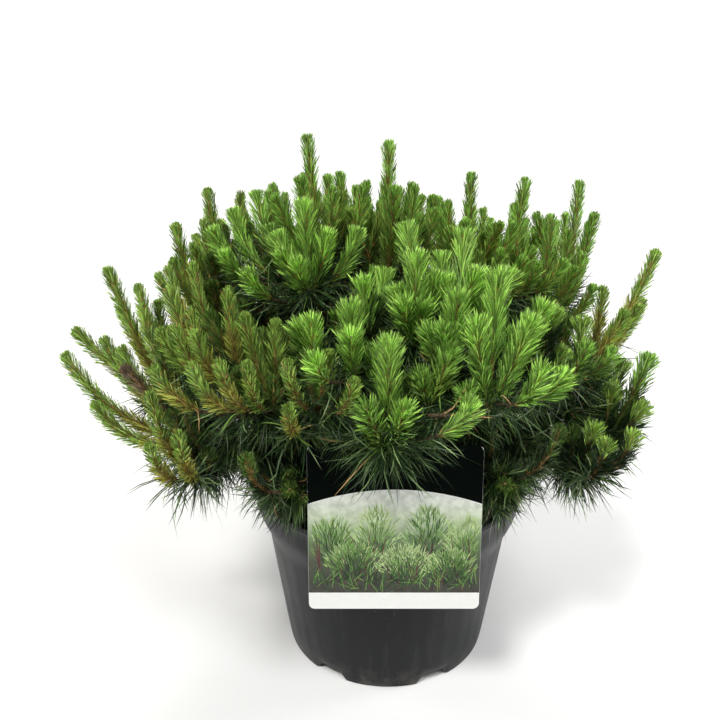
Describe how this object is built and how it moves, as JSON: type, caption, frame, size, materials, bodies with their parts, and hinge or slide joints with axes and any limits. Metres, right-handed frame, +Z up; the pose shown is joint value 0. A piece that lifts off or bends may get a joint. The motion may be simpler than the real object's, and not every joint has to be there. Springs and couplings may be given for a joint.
{
  "type": "potted mugo pine",
  "caption": "Bushy dwarf mountain pine with upright candle-like shoots, in a black plastic nursery pot with a picture card hooked over its rim.",
  "frame": {"origin": "middle of the pot's flat underside, on the floor", "axes": "+Z up along the pot's axis; the card faces -Y; +X is the viewer's right when facing the card"},
  "size_m": [0.6145, 0.4968, 0.5874],
  "materials": {
    "pot": "satin",
    "soil": "rough",
    "label": "glossy",
    "bark": "rough",
    "needles": "matte"
  },
  "bodies": {
    "root": {"pot": "pot", "soil": "soil", "label": "label", "trunk": "bark", "bough_far_left": "bark", "bough_left_mid": "bark", "bough_left_shoulder": "bark", "bough_left_top": "bark", "bough_left_inner": "bark", "bough_left_low": "bark", "bough_left_tuft": "bark", "bough_front_low": "bark", "bough_front_left": "bark", "bough_front_right": "bark", "bough_front_fan": "bark", "bough_right_stem": "bark", "bough_right_front": "bark", "bough_right_mid": "bark", "bough_right_low": "bark", "bough_right_tuft": "bark", "bough_right_arch": "bark", "bough_right_top": "bark", "bough_right_upper": "bark", "bough_upper_right": "bark", "bough_upper_centre": "bark", "bough_upper_mid": "bark", "bough_leader": "bark", "bough_upper_back": "bark", "bough_upper_left": "bark", "bough_back_right": "bark", "bough_back_mid": "bark", "bough_back_left": "bark", "mass_far_left": "needles", "mass_left_mid": "needles", "mass_left_shoulder": "needles", "mass_left_top": "needles", "mass_left_inner": "needles", "mass_left_low": "needles", "mass_left_tuft": "needles", "mass_front_low": "needles", "mass_front_left": "needles", "mass_front_right": "needles", "mass_front_fan": "needles", "mass_right_stem": "needles", "mass_right_front": "needles", "mass_right_mid": "needles", "mass_right_low": "needles", "mass_right_tuft": "needles", "mass_right_arch": "needles", "mass_right_top": "needles", "mass_right_upper": "needles", "mass_upper_right": "needles", "mass_upper_centre": "needles", "mass_upper_mid": "needles", "mass_leader": "needles", "mass_upper_back": "needles", "mass_upper_left": "needles", "mass_back_right": "needles", "mass_back_mid": "needles", "mass_back_left": "needles"}
  },
  "joints": []
}
